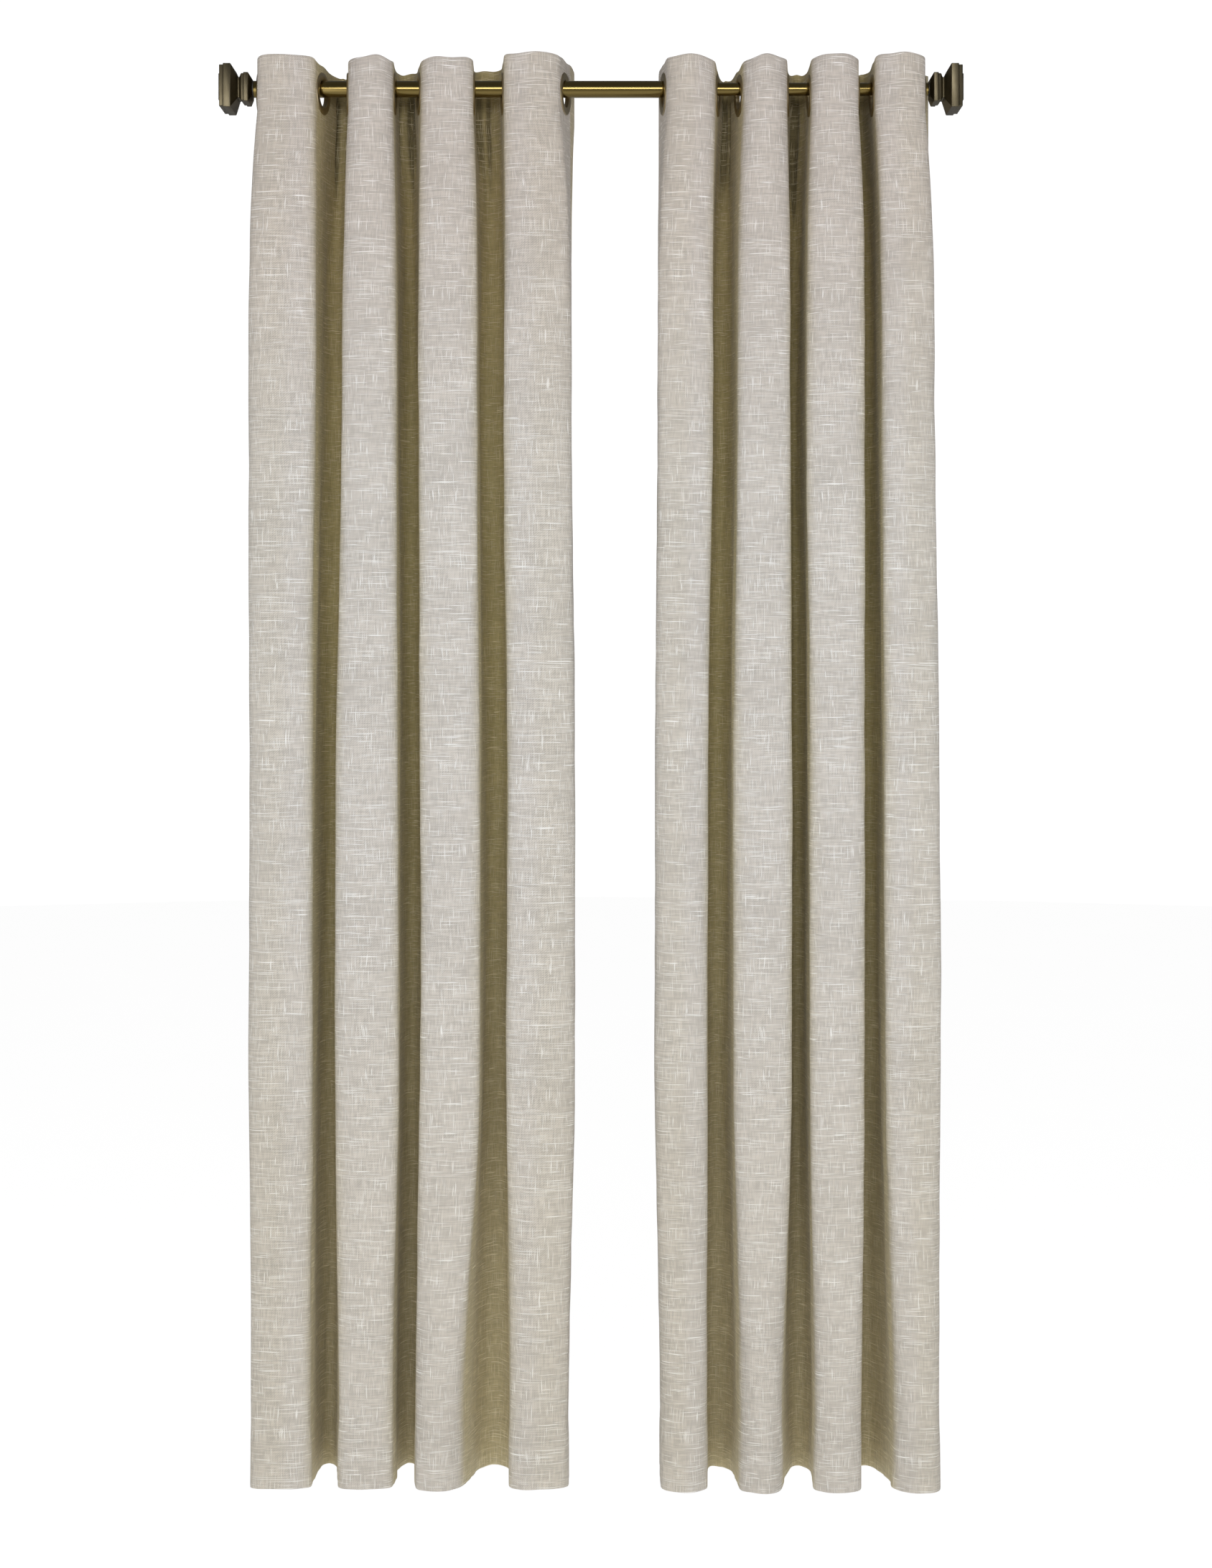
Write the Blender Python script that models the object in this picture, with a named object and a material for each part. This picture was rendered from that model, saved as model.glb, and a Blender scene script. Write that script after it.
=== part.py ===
"""Window curtains on a rod: two grommet-top panels on a telescoping rod held by two wall brackets.

The origin is the centre of the left wall plate's back face. +X runs along the rod, -Y points from the
wall into the room and +Z is up. Metres.
"""

import math

import bmesh
import bpy
from mathutils import Matrix, Vector

MM = 0.001
GAP = 0.3 * MM

# Rod: an inner tube telescopes in an outer one, on a plastic bush
OUTER_TUBE_R = 12.7 * MM
TUBE_WALL = 1.0 * MM
BUSH_WALL = 1.1 * MM
INNER_TUBE_R = OUTER_TUBE_R - TUBE_WALL - BUSH_WALL - 2 * GAP
OUTER_TUBE_LENGTH = 628 * MM
INNER_TUBE_OVERLAP = 350 * MM
ROD_OVERHANG = 30 * MM
BUSH_LENGTH = 20 * MM
BUSH_LIP = 1.5 * MM
PLUG_LENGTH = 14 * MM
PLUG_FLANGE = 1.5 * MM
STUD_R = 3.0 * MM
STUD_BORE_R = STUD_R + GAP
STUD_IN_FINIAL = 22 * MM
TUBE_SEGMENTS = 28

# Finial: square plates strung along the rod, as (length, half width at its start, half width at its end)
FINIAL_STEPS = (
    (4.6 * MM, 14.0 * MM, 21.6 * MM),
    (6.9 * MM, 21.6 * MM, 21.6 * MM),
    (3.8 * MM, 20.2 * MM, 20.2 * MM),
    (3.0 * MM, 20.2 * MM, 15.3 * MM),
    (2.0 * MM, 15.3 * MM, 15.3 * MM),
    (9.0 * MM, 15.3 * MM, 32.6 * MM),
    (11.2 * MM, 32.6 * MM, 32.6 * MM),
    (5.8 * MM, 30.8 * MM, 30.8 * MM),
    (2.7 * MM, 20.0 * MM, 20.0 * MM),
)

# Wall brackets: a plate with a sleeve, and an arm that slides in the sleeve and ends in an open cup
BRACKET_SPACING = 955 * MM
PROJECTION = 95 * MM
PLATE_WIDTH = 22 * MM
PLATE_HEIGHT = 70 * MM
PLATE_THICKNESS = 3 * MM
ARM_WIDTH = 10 * MM
ARM_HEIGHT = 8 * MM
SLEEVE_WALL = 2.4 * MM
SLEEVE_LENGTH = 45 * MM
CUP_WALL = 2.5 * MM
CUP_LIP = 6 * MM
THREAD_R = 2.0 * MM
THREAD_HOLE_R = THREAD_R + GAP
THUMB_HEAD_R = 6 * MM
THUMB_HEAD_LENGTH = 5 * MM
SET_SCREW_FROM_SLEEVE_END = 8 * MM
WALL_SCREW_R = 2.0 * MM
WALL_SCREW_HEAD_R = 4.2 * MM
WALL_SCREW_HEAD_LENGTH = 2.2 * MM
WALL_SCREW_LENGTH = 30 * MM
WALL_SCREW_FROM_PLATE_END = 10 * MM

# Panels: flat cloth with a stiffened header at the top and a turned hem at the bottom
PANEL_HEIGHT = 2134 * MM
GROMMET_PITCH = 157 * MM
SIDE_MARGIN = 85.5 * MM
CLOTH = 1.0 * MM
STIFFENER = 0.5 * MM
HEADER_DEPTH = 100 * MM
HEM_DEPTH = 75 * MM
TOP_TO_GROMMET = 48 * MM
POCKET_MARGIN = 2 * MM
BEND_COLUMNS = 6

# Grommets: a front ring with a barrel that grips a back ring through the header
GROMMET_HOLE_R = 20 * MM
GROMMET_RIM_R = 31.5 * MM
BARREL_WALL = 1.2 * MM
FRONT_RING_DEPTH = 2.1 * MM
RIM_DEPTH = 0.8 * MM
BACK_RING_DEPTH = 1.7 * MM
RING_SEGMENTS = 18

# Where each panel crosses the rod, from its own bracket, then where its folds stand at mid height and at
# the hem; and how far each crossing leans towards +X as it runs back, in degrees
LEFT_CROSSINGS = (-21, 72, 113, 180, 220, 299, 346, 437)
LEFT_MIDDLE = (-29, 60, 103, 187, 226, 306, 357, 452)
LEFT_HEM = (-26, 59, 105, 180, 219, 290, 358, 443)
LEFT_LEANS = (-3, 12, -6, -1, -9, -2, -5, 13)
LEFT_FLAP_LEANS = (-3, 16)
RIGHT_CROSSINGS = (-367, -289, -253, -183, -147, -78, -52, 22)
RIGHT_MIDDLE = (-381, -305, -261, -186, -148, -76, -35, 40)
RIGHT_HEM = (-374, -308, -256, -196, -141, -80, -27, 38)
RIGHT_LEANS = (-7, 7, -8, 5, 0, 2, 0, 3)
RIGHT_FLAP_LEANS = (-8, 30)
LOWER_LEAN_SHARE = 0.2

ROD_AXIS_Z = ARM_HEIGHT / 2 + GAP + OUTER_TUBE_R
ROD_LEFT_X = -ROD_OVERHANG
OUTER_TUBE_END_X = ROD_LEFT_X + OUTER_TUBE_LENGTH
ROD_RIGHT_X = BRACKET_SPACING + ROD_OVERHANG
HEADER = 2 * CLOTH + STIFFENER + 2 * GAP
POCKET = STIFFENER + 2 * GAP
BARREL_R = GROMMET_HOLE_R + BARREL_WALL
CLOTH_HOLE_R = BARREL_R + GAP + 0.1 * MM
FLAT_ABOUT_GROMMET = GROMMET_RIM_R + 1.5 * MM


def material(name, colour, roughness, metallic=0.0):
    made = bpy.data.materials.new(name)
    made.use_nodes = True
    shader = made.node_tree.nodes["Principled BSDF"]
    shader.inputs["Base Color"].default_value = (*colour, 1.0)
    shader.inputs["Roughness"].default_value = roughness
    shader.inputs["Metallic"].default_value = metallic
    return made


def add(name, mesh, look, smooth=False):
    """Put a mesh in the scene under its node's name."""
    made = bpy.data.objects.new(name, mesh)
    bpy.context.scene.collection.objects.link(made)
    if look is not None and not mesh.materials:
        mesh.materials.append(look)
    if smooth:
        mesh.shade_smooth()
        mesh.set_sharp_from_angle(angle=math.radians(35))
    return made


def mesh_of(bm, name):
    mesh = bpy.data.meshes.new(name)
    bmesh.ops.recalc_face_normals(bm, faces=bm.faces)
    bm.to_mesh(mesh)
    bm.free()
    return mesh


def turned(name, profile, segments, along, at):
    """A ring or rod turned about an axis. The profile is a closed outline of (radius, distance along)."""
    bm = bmesh.new()
    fill_turned(bm, profile, segments, along, at)
    return mesh_of(bm, name)


def fill_turned(bm, profile, segments, along, at):
    place = Matrix.Translation(at) @ along.to_track_quat("Z", "Y").to_matrix().to_4x4()
    rings = []
    for radius, distance in profile:
        if radius == 0:
            rings.append([bm.verts.new(place @ Vector((0, 0, distance)))] * segments)
            continue
        turn = [2 * math.pi * (i + 0.5) / segments for i in range(segments)]
        rings.append([
            bm.verts.new(place @ Vector((radius * math.cos(a), radius * math.sin(a), distance)))
            for a in turn
        ])
    closed = profile[0][0] > 0
    pairs = list(zip(rings, rings[1:] + rings[:1] if closed else rings[1:]))
    for low, high in pairs:
        for i in range(segments):
            j = (i + 1) % segments
            corners = list(dict.fromkeys((low[i], low[j], high[j], high[i])))
            bm.faces.new(corners)


def box(name, low, high):
    bm = bmesh.new()
    fill_box(bm, low, high)
    return mesh_of(bm, name)


def fill_box(bm, low, high):
    low, high = Vector(low), Vector(high)
    size = Matrix.Diagonal((*(high - low), 1))
    bmesh.ops.create_cube(bm, size=1, matrix=Matrix.Translation((low + high) / 2) @ size)


def cut(target, mesh, operation="DIFFERENCE"):
    """Cut a mesh from an object, or join it on, with a hidden guide object."""
    guide = add(f"guide_{mesh.name}", mesh, None)
    guide.hide_render = True
    guide.display_type = "WIRE"
    change = target.modifiers.new(mesh.name, "BOOLEAN")
    change.operation = operation
    change.object = guide


# ---------------------------------------------------------------- rod and finials


def tube(name, radius, start, end, look):
    bore = radius - TUBE_WALL
    profile = ((bore, start), (radius, start), (radius, end), (bore, end))
    along = Vector((1, 0, 0))
    mesh = turned(name, profile, TUBE_SEGMENTS, along, Vector((0, -PROJECTION, ROD_AXIS_Z)))
    add(name, mesh, look, smooth=True)


def glide_bush(look):
    """The plastic collar in the outer tube's end that the inner tube slides in."""
    bore = INNER_TUBE_R + GAP
    body = OUTER_TUBE_R - TUBE_WALL - GAP
    start = OUTER_TUBE_END_X - BUSH_LENGTH
    lip = OUTER_TUBE_END_X + GAP
    profile = (
        (bore, start), (body, start), (body, lip),
        (OUTER_TUBE_R, lip), (OUTER_TUBE_R, lip + BUSH_LIP), (bore, lip + BUSH_LIP),
    )
    at = Vector((0, -PROJECTION, ROD_AXIS_Z))
    mesh = turned("glide_bush", profile, TUBE_SEGMENTS, Vector((1, 0, 0)), at)
    add("glide_bush", mesh, look, smooth=True)


def rod_end(side, outward, end_x, tube_r, looks):
    """The plug in a tube's end, the finial outside it and the stud that screws the two together."""
    along = Vector((outward, 0, 0))
    at = Vector((end_x, -PROJECTION, ROD_AXIS_Z))
    body = tube_r - TUBE_WALL - GAP
    plug = (
        (STUD_BORE_R, -PLUG_LENGTH), (body, -PLUG_LENGTH), (body, GAP),
        (tube_r, GAP), (tube_r, GAP + PLUG_FLANGE), (STUD_BORE_R, GAP + PLUG_FLANGE),
    )
    mesh = turned(f"{side}_end_plug", plug, TUBE_SEGMENTS, along, at)
    add(f"{side}_end_plug", mesh, looks["plastic"], smooth=True)

    face = GAP + PLUG_FLANGE + GAP
    stud_end = face + STUD_IN_FINIAL
    stud = ((0, -PLUG_LENGTH), (STUD_R, -PLUG_LENGTH), (STUD_R, stud_end), (0, stud_end))
    mesh = turned(f"{side}_finial_stud", stud, 12, along, at)
    add(f"{side}_finial_stud", mesh, looks["steel"], smooth=True)

    finial = add(f"{side}_finial", finial_mesh(f"{side}_finial", along, at, face), looks["bronze"])
    bore_end = stud_end + GAP
    bore = ((0, 0), (STUD_BORE_R, 0), (STUD_BORE_R, bore_end), (0, bore_end))
    cut(finial, turned(f"{side}_finial_bore", bore, 12, along, at))


def finial_mesh(name, along, at, start):
    """Square plates of different widths, joined end to end into one casting."""
    bm = bmesh.new()
    outline = []
    x = start
    for length, width_in, width_out in FINIAL_STEPS:
        outline += [(x, width_in), (x + length, width_out)]
        x += length
    outline = list(dict.fromkeys(outline))
    rings = []
    for distance, half in outline:
        corners = ((-half, -half), (half, -half), (half, half), (-half, half))
        rings.append([bm.verts.new(at + along * distance + Vector((0, y, z))) for y, z in corners])
    for low, high in zip(rings, rings[1:]):
        for i in range(4):
            bm.faces.new((low[i], low[(i + 1) % 4], high[(i + 1) % 4], high[i]))
    bm.faces.new(rings[0])
    bm.faces.new(rings[-1])
    return mesh_of(bm, name)


# ---------------------------------------------------------------- brackets


def wall_plate(side, x, z, look):
    """The plate and its sleeve, with holes for two wall screws and the set screw under the sleeve."""
    name = f"{side}_wall_plate"
    half_w, half_h = PLATE_WIDTH / 2, PLATE_HEIGHT / 2
    low, high = (x - half_w, -PLATE_THICKNESS, z - half_h), (x + half_w, 0, z + half_h)
    plate = add(name, box(name, low, high), look)

    in_w, in_h = ARM_WIDTH / 2 + GAP, ARM_HEIGHT / 2 + GAP
    out_w, out_h = in_w + SLEEVE_WALL, in_h + SLEEVE_WALL
    mouth = -PLATE_THICKNESS - SLEEVE_LENGTH
    root = -PLATE_THICKNESS / 2
    cut(plate, box(f"{side}_sleeve", (x - out_w, mouth, z - out_h), (x + out_w, root, z + out_h)), "UNION")

    holes = bmesh.new()
    fill_box(holes, (x - in_w, mouth - MM, z - in_h), (x + in_w, -PLATE_THICKNESS, z + in_h))
    screw_z = half_h - WALL_SCREW_FROM_PLATE_END
    radius = WALL_SCREW_R + GAP
    for height in (z - screw_z, z + screw_z):
        drill = ((0, -MM), (radius, -MM), (radius, PLATE_THICKNESS + MM), (0, PLATE_THICKNESS + MM))
        fill_turned(holes, drill, 12, Vector((0, -1, 0)), Vector((x, 0, height)))
    cut(plate, mesh_of(holes, f"{side}_plate_holes"))

    tap = ((0, in_h - MM), (THREAD_HOLE_R, in_h - MM), (THREAD_HOLE_R, out_h + MM), (0, out_h + MM))
    down = Vector((0, 0, -1))
    tap_mesh = turned(f"{side}_sleeve_tap", tap, 12, down, Vector((x, set_screw_y(), z)))
    cut(plate, tap_mesh)


def set_screw_y():
    return -PLATE_THICKNESS - SLEEVE_LENGTH + SET_SCREW_FROM_SLEEVE_END


def cup_arm(side, x, z, tube_r, look):
    """An arm drawn as a side view: a bar from the sleeve that ends in an open cup under the tube."""
    name = f"{side}_cup_arm"
    low, high = z - ARM_HEIGHT / 2, z + ARM_HEIGHT / 2
    inside = tube_r + GAP
    outside = inside + CUP_WALL
    centre_y = -PROJECTION
    lip_z = ROD_AXIS_Z + CUP_LIP
    steps = 12
    arc = [math.pi * i / steps for i in range(steps + 1)]
    outline = [
        (-PLATE_THICKNESS - 2 * MM, low),
        (-PLATE_THICKNESS - 2 * MM, high),
        (centre_y + outside, high),
        (centre_y + outside, lip_z),
        (centre_y + inside, lip_z),
    ]
    outline += [(centre_y + inside * math.cos(a), ROD_AXIS_Z - inside * math.sin(a)) for a in arc]
    outline += [
        (centre_y - inside, lip_z),
        (centre_y - outside, lip_z),
        (centre_y - outside, high),
        (centre_y - outside + ARM_HEIGHT, low),
    ]
    bm = bmesh.new()
    corners = [bm.verts.new((x - ARM_WIDTH / 2, y, height)) for y, height in outline]
    side_face = bm.faces.new(corners)
    grown = bmesh.ops.extrude_face_region(bm, geom=[side_face])["geom"]
    moved = [v for v in grown if isinstance(v, bmesh.types.BMVert)]
    bmesh.ops.translate(bm, verts=moved, vec=(ARM_WIDTH, 0, 0))
    arm = add(name, mesh_of(bm, name), look)

    tap = ((0, inside - MM), (THREAD_HOLE_R, inside - MM), (THREAD_HOLE_R, outside + MM), (0, outside + MM))
    at = Vector((x, centre_y, ROD_AXIS_Z))
    cut(arm, turned(f"{side}_cup_tap", tap, 12, Vector((0, -1, 0)), at))


def hand_screw(name, tip, head, at, along, look):
    """A screw with a wide head. Tip and head are distances along its axis, and the head stands outside."""
    profile = (
        (0, tip), (THREAD_R, tip), (THREAD_R, head),
        (THUMB_HEAD_R, head), (THUMB_HEAD_R, head + THUMB_HEAD_LENGTH), (0, head + THUMB_HEAD_LENGTH),
    )
    add(name, turned(name, profile, 16, along, at), look, smooth=True)


def wall_screw(name, x, z, look):
    seat = -PLATE_THICKNESS - GAP
    into = WALL_SCREW_LENGTH - PLATE_THICKNESS
    profile = (
        (0, into), (WALL_SCREW_R, into - 3 * WALL_SCREW_R), (WALL_SCREW_R, seat),
        (WALL_SCREW_HEAD_R, seat), (WALL_SCREW_HEAD_R, seat - WALL_SCREW_HEAD_LENGTH / 2),
        (WALL_SCREW_HEAD_R * 0.6, seat - WALL_SCREW_HEAD_LENGTH), (0, seat - WALL_SCREW_HEAD_LENGTH),
    )
    mesh = turned(name, profile, 12, Vector((0, 1, 0)), Vector((x, 0, z)))
    add(name, mesh, look, smooth=True)


def bracket(side, x, tube_r, looks):
    z = ROD_AXIS_Z - tube_r - GAP - ARM_HEIGHT / 2
    wall_plate(side, x, z, looks["bronze"])
    cup_arm(side, x, z, tube_r, looks["bronze"])

    inside = tube_r + GAP
    lip = inside + CUP_WALL
    axis = Vector((x, -PROJECTION, ROD_AXIS_Z))
    hand_screw(f"{side}_cup_screw", inside, lip + GAP, axis, Vector((0, -1, 0)), looks["bronze"])

    arm = ARM_HEIGHT / 2 + GAP
    under = arm + GAP + SLEEVE_WALL
    below = Vector((x, set_screw_y(), z))
    hand_screw(f"{side}_arm_screw", arm, under, below, Vector((0, 0, -1)), looks["bronze"])

    reach = PLATE_HEIGHT / 2 - WALL_SCREW_FROM_PLATE_END
    wall_screw(f"{side}_upper_wall_screw", x, z + reach, looks["steel"])
    wall_screw(f"{side}_lower_wall_screw", x, z - reach, looks["steel"])


# ---------------------------------------------------------------- panels


def heading(lean, crossing):
    """The way the cloth runs where it crosses the rod: forwards at even crossings, back at odd ones."""
    back = Vector((math.sin(math.radians(lean)), math.cos(math.radians(lean))))
    return -back if crossing % 2 == 0 else back


def bezier(p0, p1, p2, p3, t):
    point = p0 * (1 - t) ** 3 + p1 * 3 * t * (1 - t) ** 2 + p2 * 3 * t * t * (1 - t) + p3 * t**3
    slope = (p1 - p0) * (1 - t) ** 2 + (p2 - p1) * 2 * t * (1 - t) + (p3 - p2) * t * t
    return point, slope.normalized()


def fold(start, way_in, end, way_out, length):
    """Points round one fold whose cloth has the given length between two straight stretches."""
    chord = (end - start).length
    low, high = chord / 4, length
    for _ in range(30):
        handle = (low + high) / 2
        inner = start + way_in * handle
        outer = end - way_out * handle
        points = [bezier(start, inner, outer, end, i / 24)[0] for i in range(25)]
        if sum((b - a).length for a, b in zip(points, points[1:])) < length:
            low = handle
        else:
            high = handle
    steps = [(i + 1) / (BEND_COLUMNS + 1) for i in range(BEND_COLUMNS)]
    return [bezier(start, inner, outer, end, t) for t in steps]


def flap(point, way, lean_from, lean_to):
    """The free edge past an end grommet, curling a little from the ring's lean to its own."""
    reach = (SIDE_MARGIN - FLAT_ABOUT_GROMMET) / 2
    columns = []
    for share in (0.5, 1.0):
        lean = math.radians(lean_from + (lean_to - lean_from) * share)
        step = Vector((math.sin(lean), math.cos(lean)))
        point = point + step * reach
        columns.append((point, step * way))
    return columns


def plan(bracket_x, crossings, leans, flap_leans):
    """The panel seen from above as (point, direction) columns from its left edge to its right edge."""
    rod = Vector((bracket_x, -PROJECTION))
    centres = [rod + Vector((x * MM, 0)) for x in crossings]
    ways = [heading(lean, k) for k, lean in enumerate(leans)]
    first = centres[0] - ways[0] * FLAT_ABOUT_GROMMET
    last = centres[-1] + ways[-1] * FLAT_ABOUT_GROMMET
    columns = flap(first, -1, leans[0], flap_leans[0])[::-1]
    for k, (centre, way) in enumerate(zip(centres, ways)):
        for along in (-FLAT_ABOUT_GROMMET, 0, FLAT_ABOUT_GROMMET):
            columns.append((centre + way * along, way))
        if k + 1 < len(centres):
            start = centre + way * FLAT_ABOUT_GROMMET
            end = centres[k + 1] - ways[k + 1] * FLAT_ABOUT_GROMMET
            free = GROMMET_PITCH - 2 * FLAT_ABOUT_GROMMET
            columns += fold(start, way, end, ways[k + 1], free)
    return columns + flap(last, 1, leans[-1], flap_leans[1])


def shell(bm, levels, lifts, outline):
    """Sweep a closed outline of (level, offset towards the face, height) along a panel's columns."""
    loops = []
    for column, lift in enumerate(lifts):
        loop = []
        for level, offset, height in outline:
            point, way = levels[level][column]
            face = Vector((way.y, -way.x))
            at = point + face * offset
            loop.append(bm.verts.new((at.x, at.y, height + lift)))
        loops.append(loop)
    for near, far in zip(loops, loops[1:]):
        for i, (_, _, height) in enumerate(outline):
            j = (i + 1) % len(outline)
            join(bm, (near[i], near[j], far[j], far[i]), outline[j][2] >= height)
    bm.faces.new(loops[0])
    bm.faces.new(loops[-1])


def join(bm, corners, rising):
    """Two triangles between columns, cut on one diagonal on both sides of thin cloth so they don't cross."""
    near, near_next, far_next, far = corners
    if rising:
        bm.faces.new((near, near_next, far_next))
        bm.faces.new((near, far_next, far))
    else:
        bm.faces.new((near, near_next, far))
        bm.faces.new((near_next, far_next, far))


def grommet_centres(bracket_x, crossings, heights):
    return [Vector((bracket_x + x * MM, -PROJECTION, z)) for x, z in zip(crossings, heights)]


def grommet_heights(count, first_r, rest_r):
    """Each grommet hangs on top of the tube that it's on, so its centre is below the rod's axis."""
    drop = [r + GAP - GROMMET_HOLE_R for r in [first_r] + [rest_r] * (count - 1)]
    return [ROD_AXIS_Z + d for d in drop]


def column_lifts(columns, heights, base):
    """Raise the cloth with each grommet, and evenly between grommets."""
    per_pitch = BEND_COLUMNS + 3
    lifts = []
    for column in range(columns):
        place = min(max((column - 3) / per_pitch, 0), len(heights) - 1)
        k = min(int(place), len(heights) - 2)
        lifts.append(heights[k] + (heights[k + 1] - heights[k]) * (place - k) - base)
    return lifts


def outlines(top):
    """Closed outlines of the cloth, of the pocket in its header and of the stiffener in the pocket."""
    bottom = top - PANEL_HEIGHT
    hem = bottom + HEM_DEPTH
    middle = (top + bottom) / 2
    header = top - HEADER_DEPTH
    face, back = HEADER / 2, -HEADER / 2
    inner = face - CLOTH
    turned_up = inner - CLOTH
    cloth = (
        ("hem", face, bottom), ("hem", face, hem), ("middle", face, middle),
        ("rod", face, header), ("rod", face, top),
        ("rod", back, top), ("rod", back, header), ("rod", inner, header),
        ("middle", inner, middle), ("hem", inner, hem),
        ("hem", turned_up, hem), ("hem", turned_up, bottom),
    )
    roof, floor = top - POCKET_MARGIN, header + POCKET_MARGIN
    half = POCKET / 2
    pocket = (("rod", half, floor), ("rod", half, roof), ("rod", -half, roof), ("rod", -half, floor))
    thin = STIFFENER / 2
    low, high = floor + GAP, roof - GAP
    stiffener = (("rod", thin, low), ("rod", thin, high), ("rod", -thin, high), ("rod", -thin, low))
    return cloth, pocket, stiffener


def lower_plan(bracket_x, crossings, leans, flap_leans):
    """Below the header the folds hang straighter than where the grommets turn them."""
    soft = [lean * LOWER_LEAN_SHARE for lean in leans]
    return plan(bracket_x, crossings, soft, flap_leans)


def panel(side, bracket_x, shape, tubes, looks):
    """One curtain: its cloth with a pocket in the header, the stiffener in the pocket and its grommets."""
    crossings, middle, hem, leans, flap_leans = shape
    levels = {
        "rod": plan(bracket_x, crossings, leans, flap_leans),
        "middle": lower_plan(bracket_x, middle, leans, flap_leans),
        "hem": lower_plan(bracket_x, hem, leans, flap_leans),
    }
    heights = grommet_heights(len(crossings), *tubes)
    top = heights[-1] + TOP_TO_GROMMET
    lifts = column_lifts(len(levels["rod"]), heights, heights[-1])
    cloth, pocket, stiffener = outlines(top)

    centres = grommet_centres(bracket_x, crossings, heights)
    holes = bmesh.new()
    reach = 3 * HEADER
    for centre, lean in zip(centres, leans):
        axis = Vector((math.cos(math.radians(lean)), -math.sin(math.radians(lean)), 0))
        drill = ((0, -reach), (CLOTH_HOLE_R, -reach), (CLOTH_HOLE_R, reach), (0, reach))
        fill_turned(holes, drill, RING_SEGMENTS, axis, centre)
    hole_mesh = mesh_of(holes, f"{side}_grommet_holes")

    bm = bmesh.new()
    shell(bm, levels, lifts, cloth)
    cloth_object = add(f"{side}_panel", mesh_of(bm, f"{side}_panel"), looks["linen"], smooth=True)
    bm = bmesh.new()
    inside = {name: columns[1:-1] for name, columns in levels.items()}
    shell(bm, inside, lifts[1:-1], pocket)
    cut(cloth_object, mesh_of(bm, f"{side}_header_pocket"))
    cut(cloth_object, hole_mesh)

    bm = bmesh.new()
    narrow = {name: pulled_in(columns) for name, columns in inside.items()}
    shell(bm, narrow, lifts[1:-1], stiffener)
    stiff_name = f"{side}_header_stiffener"
    stiff = add(stiff_name, mesh_of(bm, stiff_name), looks["buckram"], smooth=True)
    cut(stiff, hole_mesh.copy())

    for k, (centre, lean) in enumerate(zip(centres, leans)):
        grommet(f"{side}_grommet_{k + 1}", centre, face_way(lean, k), looks["ring"])


def pulled_in(columns):
    """The same columns with both end ones moved in, so that the stiffener is shorter than its pocket."""
    first, way_in = columns[0]
    last, way_out = columns[-1]
    return [(first + way_in * GAP, way_in), *columns[1:-1], (last - way_out * GAP, way_out)]


def face_way(lean, crossing):
    way = heading(lean, crossing)
    return Vector((way.y, -way.x, 0))


def grommet(name, centre, face, look):
    """The front ring lies on the cloth's face, and its barrel goes through to the back ring."""
    inscribed = 1 / math.cos(math.pi / RING_SEGMENTS)
    bore = GROMMET_HOLE_R * inscribed
    barrel = BARREL_R * inscribed
    seat = HEADER / 2 + GAP
    rear = -seat - BACK_RING_DEPTH
    front = (
        (GROMMET_RIM_R, seat), (GROMMET_RIM_R, seat + RIM_DEPTH),
        ((GROMMET_RIM_R + bore) / 2, seat + FRONT_RING_DEPTH), (bore, seat + RIM_DEPTH),
        (bore, rear), (barrel, rear), (barrel, seat),
    )
    back_bore = BARREL_R * inscribed + GAP
    back = (
        (back_bore, -seat), (back_bore, rear), (GROMMET_RIM_R, -seat - RIM_DEPTH), (GROMMET_RIM_R, -seat),
    )
    for part, profile in (("front_ring", front), ("back_ring", back)):
        mesh = turned(f"{name}_{part}", profile, RING_SEGMENTS, face, centre)
        add(f"{name}_{part}", mesh, look, smooth=True)


def build():
    for old in list(bpy.data.objects):
        bpy.data.objects.remove(old)
    looks = {
        "brass": material("antique_brass", (0.20, 0.14, 0.05), 0.32, 1.0),
        "bronze": material("aged_bronze", (0.13, 0.11, 0.075), 0.45, 1.0),
        "ring": material("grommet_metal", (0.16, 0.13, 0.085), 0.38, 1.0),
        "steel": material("zinc_steel", (0.55, 0.55, 0.53), 0.4, 1.0),
        "plastic": material("bush_plastic", (0.05, 0.045, 0.035), 0.5),
        "linen": material("linen_weave", (0.58, 0.54, 0.49), 0.9),
        "buckram": material("buckram", (0.75, 0.74, 0.7), 0.85),
    }
    inner_start = OUTER_TUBE_END_X - INNER_TUBE_OVERLAP
    tube("outer_tube", OUTER_TUBE_R, ROD_LEFT_X, OUTER_TUBE_END_X, looks["brass"])
    tube("inner_tube", INNER_TUBE_R, inner_start, ROD_RIGHT_X, looks["brass"])
    glide_bush(looks["plastic"])
    rod_end("left", -1, ROD_LEFT_X, OUTER_TUBE_R, looks)
    rod_end("right", 1, ROD_RIGHT_X, INNER_TUBE_R, looks)
    bracket("left", 0, OUTER_TUBE_R, looks)
    bracket("right", BRACKET_SPACING, INNER_TUBE_R, looks)
    left = (LEFT_CROSSINGS, LEFT_MIDDLE, LEFT_HEM, LEFT_LEANS, LEFT_FLAP_LEANS)
    right = (RIGHT_CROSSINGS, RIGHT_MIDDLE, RIGHT_HEM, RIGHT_LEANS, RIGHT_FLAP_LEANS)
    panel("left", 0, left, (OUTER_TUBE_R, OUTER_TUBE_R), looks)
    panel("right", BRACKET_SPACING, right, (OUTER_TUBE_R, INNER_TUBE_R), looks)


build()
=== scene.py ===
"""Window curtains on a rod: two linen panels in deep grommet-top folds on an antique brass rod."""

import math

import bmesh
import bpy
import numpy as np
from mathutils import Matrix, Vector


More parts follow.
